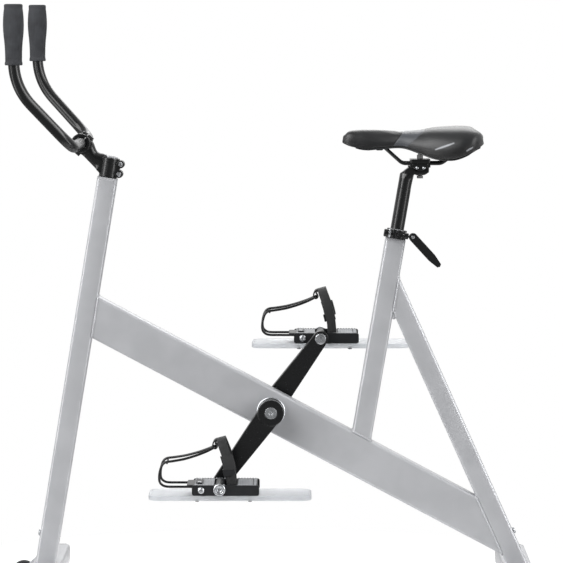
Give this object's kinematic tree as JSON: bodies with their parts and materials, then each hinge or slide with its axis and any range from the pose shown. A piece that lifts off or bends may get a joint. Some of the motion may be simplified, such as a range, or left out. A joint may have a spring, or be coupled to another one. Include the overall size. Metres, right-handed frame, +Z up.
{
  "type": "aqua bike",
  "caption": "Free-standing pool exercise bike: sloping beam frame on two floor tubes, free cranks with paddle pedals and toe cages, upright-horn handlebar and height-adjustable saddle.",
  "frame": {"origin": "middle of the bike's overall box, on the floor it stands on", "axes": "+Z up; -X towards the handlebar, the way the rider faces; -Y to the rider's left"},
  "size_m": [1.0682, 0.6084, 1.2053],
  "materials": {
    "painted frame": "silver-grey powder coat, satin",
    "black alloy": "black anodised or gloss-coated alloy",
    "bright steel": "stainless steel, bright",
    "black plastic": "moulded black plastic, fine grain",
    "black rubber": "moulded black rubber, matt",
    "grip foam": "charcoal rubber grip, ribbed",
    "clear blade": "pale translucent plastic, frosted",
    "webbing": "woven nylon strap",
    "saddle vinyl": "black stitched vinyl, satin, with a grey band"
  },
  "bodies": {
    "frame": {"main_beam": "painted frame", "front_post": "painted frame", "seat_tube": "painted frame", "rear_strut": "painted frame", "bottom_bracket_shell": "painted frame", "steerer_tube": "painted frame", "seat_sleeve": "painted frame", "front_foot": "painted frame", "rear_foot": "painted frame", "foot_cap_front_left": "black plastic", "foot_cap_front_right": "black plastic", "foot_cap_rear_left": "black plastic", "foot_cap_rear_right": "black plastic", "foot_pad_front_left": "black rubber", "foot_pad_front_right": "black rubber", "foot_pad_rear_left": "black rubber", "foot_pad_rear_right": "black rubber", "front_post_bolt": "bright steel", "rear_strut_bolt": "bright steel", "wheel_axle": "bright steel", "left_bearing_cup": "bright steel", "right_bearing_cup": "bright steel", "stem": "black alloy", "stem_faceplate": "black alloy", "faceplate_bolt_upper": "black alloy", "faceplate_bolt_lower": "black alloy", "stem_pinch_bolt_upper": "bright steel", "stem_pinch_bolt_lower": "bright steel", "seat_collar": "black alloy", "collar_skewer": "bright steel"},
    "handlebar": {"handlebar": "black alloy", "left_grip": "grip foam", "right_grip": "grip foam"},
    "cranks": {"crank_axle": "bright steel", "left_crank": "black alloy", "right_crank": "black alloy", "left_crank_bolt": "bright steel", "right_crank_bolt": "bright steel", "left_pedal_spindle": "bright steel", "right_pedal_spindle": "bright steel"},
    "left_pedal": {"left_pedal_body": "black plastic", "left_paddle": "clear blade", "left_toe_cage": "black alloy", "left_strap": "webbing", "left_buckle": "black plastic"},
    "right_pedal": {"right_pedal_body": "black plastic", "right_paddle": "clear blade", "right_toe_cage": "black alloy", "right_strap": "webbing", "right_buckle": "black plastic"},
    "seatpost": {"seatpost": "black alloy"},
    "saddle_clamp": {"saddle_clamp_lower": "black alloy", "saddle_clamp_upper": "black alloy", "saddle_clamp_bolt": "bright steel"},
    "saddle": {"saddle_rails": "black alloy", "saddle_base": "black plastic", "saddle_cover": "saddle vinyl"},
    "collar_lever": {"collar_lever": "black alloy"},
    "left_wheel": {"left_wheel": "black rubber"},
    "right_wheel": {"right_wheel": "black rubber"}
  },
  "joints": [
    {"name": "crank_spin", "type": "hinge", "parent": "frame", "child": "cranks", "pos_m": [0.00488, 0, 0.393], "axis": [0, 1, 0], "continuous": true},
    {"name": "left_pedal_spin", "type": "hinge", "parent": "cranks", "child": "left_pedal", "pos_m": [-0.09504, -0.128, 0.25547], "axis": [0, 1, 0], "continuous": true},
    {"name": "right_pedal_spin", "type": "hinge", "parent": "cranks", "child": "right_pedal", "pos_m": [0.10481, 0.128, 0.53053], "axis": [0, 1, 0], "continuous": true},
    {"name": "left_wheel_spin", "type": "hinge", "parent": "frame", "child": "left_wheel", "pos_m": [-0.50944, -0.17, 0.031], "axis": [0, 1, 0], "continuous": true},
    {"name": "right_wheel_spin", "type": "hinge", "parent": "frame", "child": "right_wheel", "pos_m": [-0.50944, 0.17, 0.031], "axis": [0, 1, 0], "continuous": true},
    {"name": "seatpost_slide", "type": "slide", "parent": "frame", "child": "seatpost", "axis": [0.1669, 0, 0.986], "range_m": [-0.075, 0.09]},
    {"name": "saddle_tilt", "type": "hinge", "parent": "seatpost", "child": "saddle_clamp", "pos_m": [0.30286, 0, 0.889], "axis": [0, 1, 0], "range_deg": [-8, 8]},
    {"name": "saddle_slide", "type": "slide", "parent": "saddle_clamp", "child": "saddle", "axis": [1, 0, 0], "range_m": [-0.014, 0.008]},
    {"name": "collar_lever_turn", "type": "hinge", "parent": "frame", "child": "collar_lever", "pos_m": [0.28866, -0.0265, 0.7419], "axis": [0, -1, 0], "range_deg": [0, 90]},
    {"name": "handlebar_tilt", "type": "hinge", "parent": "frame", "child": "handlebar", "pos_m": [-0.37499, 0, 0.92927], "axis": [0, 1, 0], "range_deg": [-15, 15]}
  ]
}
